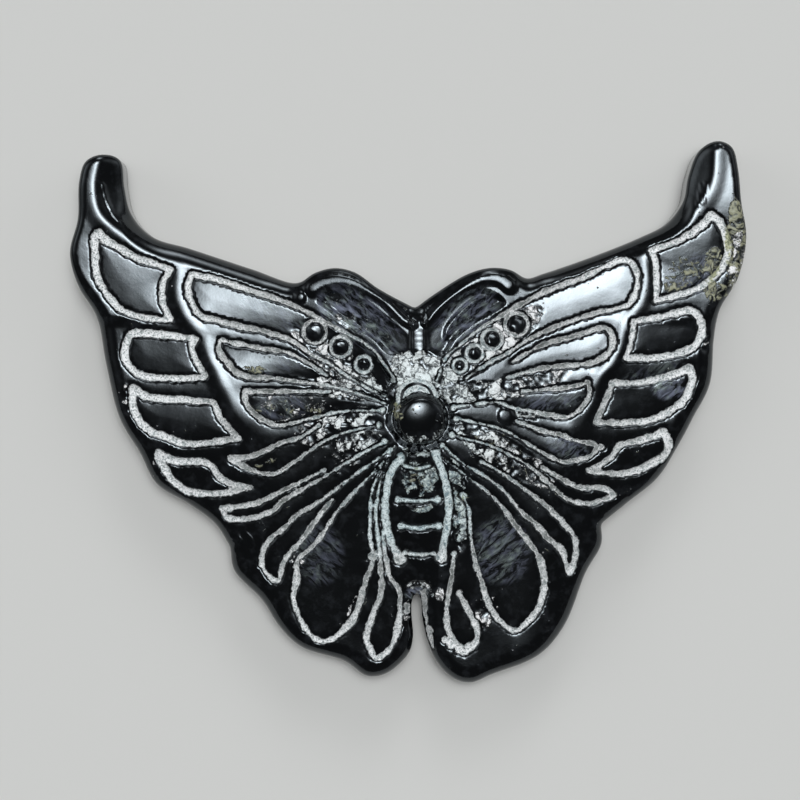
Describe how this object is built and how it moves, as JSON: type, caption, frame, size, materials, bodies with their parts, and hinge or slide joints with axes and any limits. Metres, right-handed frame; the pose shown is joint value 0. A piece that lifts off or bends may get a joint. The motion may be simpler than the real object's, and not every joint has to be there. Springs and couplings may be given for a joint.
{
  "type": "stone butterfly pendant",
  "caption": "Carved butterfly of dark polished stone, a flat-backed slab with ground frosted lines for the wing cells, worn as a pendant.",
  "frame": {"origin": "middle of the slab's box, on its flat back", "axes": "+Z out of the carved face, +X towards the right wing as seen from the face, +Y towards the wing tips"},
  "size_m": [0.0502, 0.0404, 0.008],
  "materials": {
    "polished_stone": "polished near-black stone with frosted ground lines and olive inclusions"
  },
  "bodies": {
    "root": {"butterfly_pendant": "polished_stone"}
  },
  "joints": []
}
